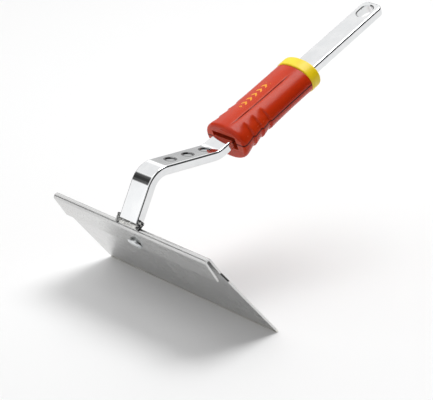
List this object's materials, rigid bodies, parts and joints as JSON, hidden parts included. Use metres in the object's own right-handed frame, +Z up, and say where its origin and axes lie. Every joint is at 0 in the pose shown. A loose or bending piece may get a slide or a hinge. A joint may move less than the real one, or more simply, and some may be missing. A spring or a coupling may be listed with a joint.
{
  "type": "draw hoe head",
  "caption": "Draw hoe head for an interchangeable handle: folded steel blade on a bent plated flat bar with a slotted tang, split plastic grip and end ring.",
  "frame": {"origin": "centre of the bounding box's bottom face; the blade's cutting edge rests on Z = 0", "axes": "+X along the cutting edge, +Y level towards the tang's end, +Z up; the tang rises 23.4 degrees from the floor towards +Y, as in use"},
  "size_m": [0.1498, 0.2152, 0.1516],
  "materials": {
    "chrome_bar": "bright chrome plate",
    "blade_steel": "satin ground sheet",
    "plated_rivet": "dull plated",
    "plated_weld": "rough plated bead",
    "red_grip": "semi-gloss moulded",
    "yellow_ring": "semi-gloss moulded"
  },
  "bodies": {
    "root": {"shank": "chrome_bar", "blade": "blade_steel", "rivet": "plated_rivet", "weld": "plated_weld", "grip_upper_shell": "red_grip", "grip_lower_shell": "red_grip", "end_ring": "yellow_ring"}
  },
  "joints": []
}
